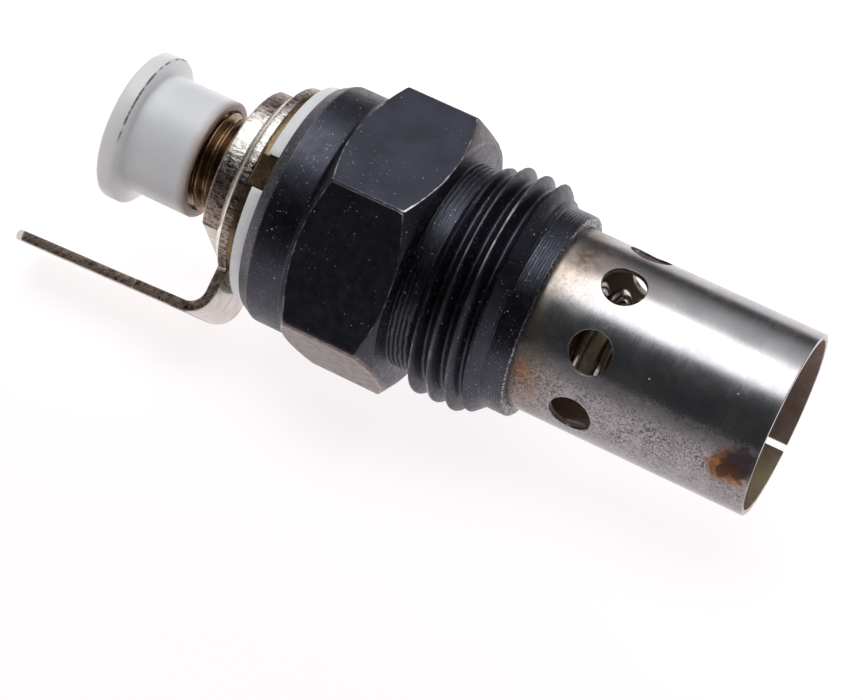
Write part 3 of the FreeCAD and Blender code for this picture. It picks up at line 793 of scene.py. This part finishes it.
def holder_thread(x, height):
    swell = ramp_between(x, THREAD_START, THREAD_FULL)
    root = NECK_R + (THREAD_ROOT - NECK_R) * ramp_between(x, THREAD_START, THREAD_ROOT_FULL)
    ridge = root + (THREAD_CREST - THREAD_ROOT) * height * swell
    cone = THREAD_CREST - END_CONE_SLOPE * max(x - END_CONE_START, 0)
    return max(min(ridge, cone), PILOT_R)


def make_holder():
    angles = angles_round(0)
    bm = bmesh.new()
    skin(bm, [[at(x, r, a) for x, r in rounded(holder_line(a))] for a in angles])
    thread(bm, angles, THREAD_CREST_X, THREAD_PITCH, THREAD_START, THREAD_END, holder_thread)
    return finished("holder", bm, "plug", "black_oxide_steel", ["holder_body"])


# ---------------------------------------------------------------- flame shield

PATCH_HALF = 3.3  # half the length of the square of strip round each hole
PATCH_LEFT = HOLE_X - PATCH_HALF
PATCH_RIGHT = HOLE_X + PATCH_HALF
SIDE_STEPS = 16
LEFT_STEPS = 4
RIGHT_STEPS = 36
PATCH_RINGS = (0, 0.06, 0.15, 0.3, 0.5, 0.75, 1)  # from the hole's edge to the square's


def steps(start, end, count):
    return [start + (end - start) * i / count for i in range(count + 1)]


def patch_square(step, low, high):
    """A point on the square round a hole, going round it in four sides, as (angle, x)."""
    side, along = divmod(step, SIDE_STEPS)
    t = along / SIDE_STEPS
    corners = [(low, PATCH_LEFT), (high, PATCH_LEFT), (high, PATCH_RIGHT), (low, PATCH_RIGHT)]
    (a0, x0), (a1, x1) = corners[side % 4], corners[(side + 1) % 4]
    return a0 + (a1 - a0) * t, x0 + (x1 - x0) * t


def on_shield(x, radius, angle):
    """A point of the strip, pressed in where it was spot welded."""
    round_off = math.radians((angle - WELD_ANGLE + 180) % 360 - 180) * radius
    off = math.hypot(x - WELD_X, round_off) / WELD_R
    return at(x, radius - WELD_DEPTH * math.exp(-off ** 4), angle)


def hole_patch(bm, radius, middle, low, high):
    """The square of strip round a hole; returns the points of the hole's edge."""
    columns = []
    for step in range(4 * SIDE_STEPS + 1):
        angle, x = patch_square(step, low, high)
        turn = math.radians(-135 + 360 * step / (4 * SIDE_STEPS))
        hole_angle = middle + math.degrees(math.asin(HOLE_R * math.cos(turn) / radius))
        hole_x = HOLE_X + HOLE_R * math.sin(turn)
        columns.append([
            at(hole_x + (x - hole_x) * t, radius, hole_angle + (angle - hole_angle) * t)
            for t in PATCH_RINGS
        ])
    skin(bm, columns)
    return [column[0] for column in columns]


def shield_wall(bm, radius):
    """One face of the strip, with its holes; returns the edges of the holes."""
    spread = 360 / HOLE_COUNT
    rings = []
    edge_angles = []
    for hole in range(HOLE_COUNT):
        middle = SEAM_ANGLE + spread * (hole + 0.5)
        low = middle - spread / 2 + (SEAM_HALF if hole == 0 else 0)
        high = middle + spread / 2 - (SEAM_HALF if hole == HOLE_COUNT - 1 else 0)
        rings.append(hole_patch(bm, radius, middle, low, high))
        edge_angles += steps(low, high, SIDE_STEPS)[:-1]
    edge_angles.append(SEAM_ANGLE + 360 - SEAM_HALF)
    for xs in (steps(SHIELD_LEFT, PATCH_LEFT, LEFT_STEPS),
               steps(PATCH_RIGHT, SHIELD_END, RIGHT_STEPS)):
        skin(bm, [[on_shield(x, radius, a) for x in xs] for a in edge_angles])
    return rings, edge_angles


def make_shield():
    bm = bmesh.new()
    inner_r = SHIELD_R - SHIELD_WALL
    outer, edge_angles = shield_wall(bm, SHIELD_R)
    inner, _ = shield_wall(bm, inner_r)
    for out_ring, in_ring in zip(outer, inner):
        skin(bm, [out_ring, in_ring])
    for x in (SHIELD_LEFT, SHIELD_END):
        skin(bm, [[on_shield(x, inner_r, a), on_shield(x, SHIELD_R, a)] for a in edge_angles])
    xs = sorted({*steps(SHIELD_LEFT, PATCH_LEFT, LEFT_STEPS),
                 *steps(PATCH_LEFT, PATCH_RIGHT, SIDE_STEPS),
                 *steps(PATCH_RIGHT, SHIELD_END, RIGHT_STEPS)})
    for angle in (edge_angles[0], edge_angles[-1]):
        skin(bm, [[at(x, inner_r, angle), at(x, SHIELD_R, angle)] for x in xs])
    piece = finished("shield", bm, "plug", "shield_steel", ["flame_shield"])
    break_edges(piece.modifiers, "rims", 0.07, 50)
    piece.modifiers.move(1, 0)
    return piece


# ---------------------------------------------------------------- terminal stack and inlet

def make_nut():
    """The round terminal nut and its two flats, with the thread in it drawn as a plain bore."""
    left_chamfer, right_chamfer, edge = 0.2, 0.1, 0.05
    columns = []
    for angle in angles_round(NUT_CORNER_ANGLE):
        off = abs((angle - NUT_FLAT_ANGLE + 90) % 180 - 90)
        radius = min(NUT_R, NUT_FLAT / max(math.cos(math.radians(off)), 0.1))
        line = rounded([(NUT_RIGHT, STACK_HOLE_R, 0), (NUT_LEFT, STACK_HOLE_R, 0),
                        (NUT_LEFT, radius - left_chamfer, edge),
                        (NUT_LEFT + left_chamfer, radius, edge),
                        (NUT_RIGHT - right_chamfer, radius, edge),
                        (NUT_RIGHT, radius - right_chamfer, edge),
                        (NUT_RIGHT, STACK_HOLE_R, 0)])
        columns.append([at(x, r, angle) for x, r in line])
    bm = bmesh.new()
    skin(bm, columns)
    return finished("nut", bm, "plug", "nickel_plate", ["terminal_nut"])


def make_washer():
    """The plain washer, chamfered towards the nut."""
    right = RING_LEFT - 0.01
    corners = [(NUT_RIGHT, STACK_HOLE_R, 0.05), (NUT_RIGHT, WASHER_FACE_R, 0.1),
               (NUT_RIGHT + WASHER_CHAMFER, WASHER_FACE_R + WASHER_CHAMFER, 0.1),
               (right, WASHER_R, 0.03), (right, STACK_HOLE_R, 0.05)]
    line = rounded([corners[-1], *corners, *corners[:2]])[1:-1]
    bm = bmesh.new()
    turned(bm, line + line[:1], angles_round())
    return finished("washer", bm, "plug", "nickel_washer", ["terminal_washer"])


def inlet_thread(x, height):
    root = INLET_CREST - INLET_DEPTH
    fade = min(ramp_between(x, INLET_START, INLET_FULL_START),
               1 - ramp_between(x, INLET_FULL_END, INLET_END))
    return root + (INLET_DEPTH - 0.004) * height * fade


def make_inlet():
    """The screwed inlet, from its thread past its flange and spigot and back along the bore."""
    angles = angles_round()
    root = INLET_CREST - INLET_DEPTH
    line = rounded([
        (INLET_END, root, 0),
        (INLET_END, SHANK_R, 0),
        (FLANGE_LEFT, SHANK_R, 0),
        (FLANGE_LEFT, FLANGE_R, 0.15),
        (FLANGE_RIGHT, FLANGE_R, 0.15),
        (FLANGE_RIGHT, SPIGOT_R, 0),
        (SPIGOT_END, SPIGOT_R, 0.2),
        (SPIGOT_END, VALVE_SOCKET_R, 0),
        (VALVE_SOCKET_LEFT, VALVE_SOCKET_R, 0),
        (VALVE_SOCKET_LEFT, FUEL_BORE_R, 0),
        (INLET_CONE_END, FUEL_BORE_R, 0),
        (INLET_LEFT, INLET_CONE_R, 0.1),
        (INLET_LEFT, INLET_NOSE_R, 0.1),
        (INLET_START, root, 0),
    ])
    bm = bmesh.new()
    turned(bm, line, angles)
    thread(bm, angles, INLET_CREST_X, INLET_PITCH, INLET_START, INLET_END, inlet_thread)
    return finished("inlet", bm, "plug", "passivated_steel", ["inlet_adaptor"])


def make_cap():
    line = rounded([
        (CAP_BORE_END, 0, 0), (CAP_BORE_END, CAP_BORE_R, 0.4), (CAP_RIGHT, CAP_BORE_R, 0.15),
        (CAP_RIGHT, CAP_R, 0.25), (CAP_FLANGE_END, CAP_R, 0.35),
        (CAP_FLANGE_END, CAP_FLANGE_R, 0.3), (CAP_LEFT, CAP_FLANGE_R, 0.45), (CAP_LEFT, 0, 0),
    ], 5)
    bm = bmesh.new()
    turned(bm, line, angles_round())
    return finished("cap", bm, "cap", "translucent_plastic", ["transit_cap"], sharp=60)


def soften(node, width):
    """Break a CAD piece's edges."""
    modifiers = frame["nodes"][node].modifiers
    modifiers.new("joined", "WELD").merge_threshold = 0.001 * MM
    break_edges(modifiers, "edges", width, 40)
    modifiers.new("normals", "WEIGHTED_NORMAL")


make_holder()
make_shield()
make_nut()
make_washer()
make_inlet()
make_cap()
soften("blade_terminal", 0.19)
soften("outer_insulator", 0.1)
soften("tab_washer", 0.06)


# ---------------------------------------------------------------- stage, lights and camera

# in metres
FLOOR_HALF = 4.0
FLOOR_HEIGHT = -HEX_HALF * MM
FLAG_HALF = 0.6
FLAG_BACK = -0.052
FLAG_HEIGHT = (0.5 - HEX_HALF) * MM
BACKDROP_R = 1.5
LAMP_SIZE = 0.46
LAMP_DISTANCE = 0.6
CAMERA_DISTANCE = 0.2354
CAMERA_TARGET = Vector((2.9, -6.1, -3.8)) * MM

LAMP_WATTS = 1.75
LAMP_DIRECTION = Vector((-0.2, 0.10, 0.975)).normalized()
GLOW = (1.0, 0.955, 0.965)
ROOM_LEVEL = 0.05
SKY_LEVEL = 0.85
SKY_RISE = ((1, -0.1, 0.45), (2, 0.2, 0.8))  # axis, where the glow starts, where it is full
LENS = 111.8
SENSOR = 36
AZIMUTH, ELEVATION, ROLL = (math.radians(degrees) for degrees in (21.3, 48.7, 9.05))


def stage_piece(name, mesh, material):
    mesh.materials.append(material)
    piece = bpy.data.objects.new(name, mesh)
    bpy.context.collection.objects.link(piece)
    return piece


def level_sheet(name, low_x, high_x, low_y, high_y, height, material):
    mesh = bpy.data.meshes.new(name)
    corners = [(low_x, low_y, height), (high_x, low_y, height),
               (high_x, high_y, height), (low_x, high_y, height)]
    mesh.from_pydata(corners, [], [(0, 1, 2, 3)])
    return stage_piece(name, mesh, material)


def make_floor():
    """A pale light table: it glows near the object and less further off."""
    p = Paint("floor")
    x, y, _ = p.add("ShaderNodeSeparateXYZ", {0: p.mm}).outputs
    far = p.root(p.plus(p.times(x, x), p.times(y, y)))
    glow = p.times(p.span(far, 90, 420, 1.0, 0.80), p.span(y, -40, 50, 0.82, 1.12))
    colour = p.mix(p.noise(0.02, 2), (0.30, 0.29, 0.29), (0.29, 0.28, 0.28))
    p.set(Base_Color=colour, Specular_IOR_Level=0.0, Emission_Color=GLOW, Emission_Strength=glow)
    level_sheet("floor", -FLOOR_HALF, FLOOR_HALF, -FLOOR_HALF, FLOOR_HALF, FLOOR_HEIGHT,
                p.material)


def make_backdrop():
    """A pale wall all round, seen only by the camera, so that reflections show a dark room."""
    p = Paint("backdrop")
    p.set(Base_Color=(0.0, 0.0, 0.0), Roughness=1.0, Emission_Color=(1.0, 0.99, 0.99),
          Emission_Strength=p.uneven(0.86, 0.88, 0.001, 2))
    mesh = bpy.data.meshes.new("backdrop")
    bm = bmesh.new()
    bmesh.ops.create_icosphere(bm, subdivisions=5, radius=BACKDROP_R)
    bmesh.ops.reverse_faces(bm, faces=bm.faces)
    bm.to_mesh(mesh)
    bm.free()
    wall = stage_piece("backdrop", mesh, p.material)
    wall.visible_diffuse = False
    wall.visible_glossy = False
    wall.visible_transmission = False
    wall.visible_shadow = False


def make_flag():
    """A dark card on the table in front, unseen itself, that metal reflects as a dark band."""
    p = Paint("flag")
    y = p.add("ShaderNodeSeparateXYZ", {0: p.mm}).outputs[1]
    p.set(Base_Color=p.mix(p.noise(0.02, 2), (0.03, 0.03, 0.035), (0.02, 0.02, 0.025)),
          Roughness=0.9, Emission_Color=GLOW, Emission_Strength=p.span(y, -110, -48, 0.04, 0.75))
    card = level_sheet("flag", -FLAG_HALF, FLAG_HALF, -FLAG_HALF, FLAG_BACK, FLAG_HEIGHT,
                       p.material)
    card.visible_camera = False
    card.visible_diffuse = False
    card.visible_shadow = False


def make_lamp():
    lamp = bpy.data.lights.new("overhead", "AREA")
    lamp.shape = "DISK"
    lamp.size = LAMP_SIZE
    lamp.energy = LAMP_WATTS
    light = bpy.data.objects.new("overhead", lamp)
    light.location = LAMP_DIRECTION * LAMP_DISTANCE
    light.rotation_mode = "QUATERNION"
    light.rotation_quaternion = LAMP_DIRECTION.to_track_quat("Z", "Y")
    bpy.context.collection.objects.link(light)


def make_world():
    """A dim room, brighter high up behind the object."""
    world = bpy.data.worlds.new("studio")
    bpy.context.scene.world = world
    world.use_nodes = True
    tree = world.node_tree
    axes = tree.nodes.new("ShaderNodeSeparateXYZ")
    tree.links.new(tree.nodes.new("ShaderNodeTexCoord").outputs["Generated"], axes.inputs[0])
    level = None
    for axis, low, high in SKY_RISE:
        rise = tree.nodes.new("ShaderNodeMapRange")
        rise.interpolation_type = "SMOOTHSTEP"
        rise.inputs[1].default_value = low
        rise.inputs[2].default_value = high
        tree.links.new(axes.outputs[axis], rise.inputs[0])
        product = tree.nodes.new("ShaderNodeMath")
        product.operation = "MULTIPLY"
        product.inputs[1].default_value = 1.0
        tree.links.new(rise.outputs[0], product.inputs[0])
        if level is not None:
            tree.links.new(level, product.inputs[1])
        level = product.outputs[0]
    strength = tree.nodes.new("ShaderNodeMath")
    strength.operation = "MULTIPLY_ADD"
    strength.inputs[1].default_value = SKY_LEVEL
    strength.inputs[2].default_value = ROOM_LEVEL
    tree.links.new(level, strength.inputs[0])
    background = tree.nodes["Background"]
    background.inputs["Color"].default_value = (0.97, 0.98, 1.0, 1.0)
    tree.links.new(strength.outputs[0], background.inputs["Strength"])


def make_camera():
    back = Vector((math.sin(AZIMUTH) * math.cos(ELEVATION),
                   -math.cos(AZIMUTH) * math.cos(ELEVATION),
                   math.sin(ELEVATION)))
    level = Vector((math.cos(AZIMUTH), math.sin(AZIMUTH), 0))
    upright = back.cross(level)
    right = math.cos(ROLL) * level + math.sin(ROLL) * upright
    up = -math.sin(ROLL) * level + math.cos(ROLL) * upright
    data = bpy.data.cameras.new("camera")
    data.lens = LENS
    data.sensor_width = SENSOR
    data.clip_start = 0.01
    camera = bpy.data.objects.new("camera", data)
    place = Matrix((right, up, back)).transposed().to_4x4()
    place.translation = CAMERA_TARGET + back * CAMERA_DISTANCE
    camera.matrix_world = place
    bpy.context.collection.objects.link(camera)
    bpy.context.scene.camera = camera


make_floor()
make_backdrop()
make_flag()
make_lamp()
make_world()
make_camera()
bpy.context.scene.view_settings.view_transform = "Standard"
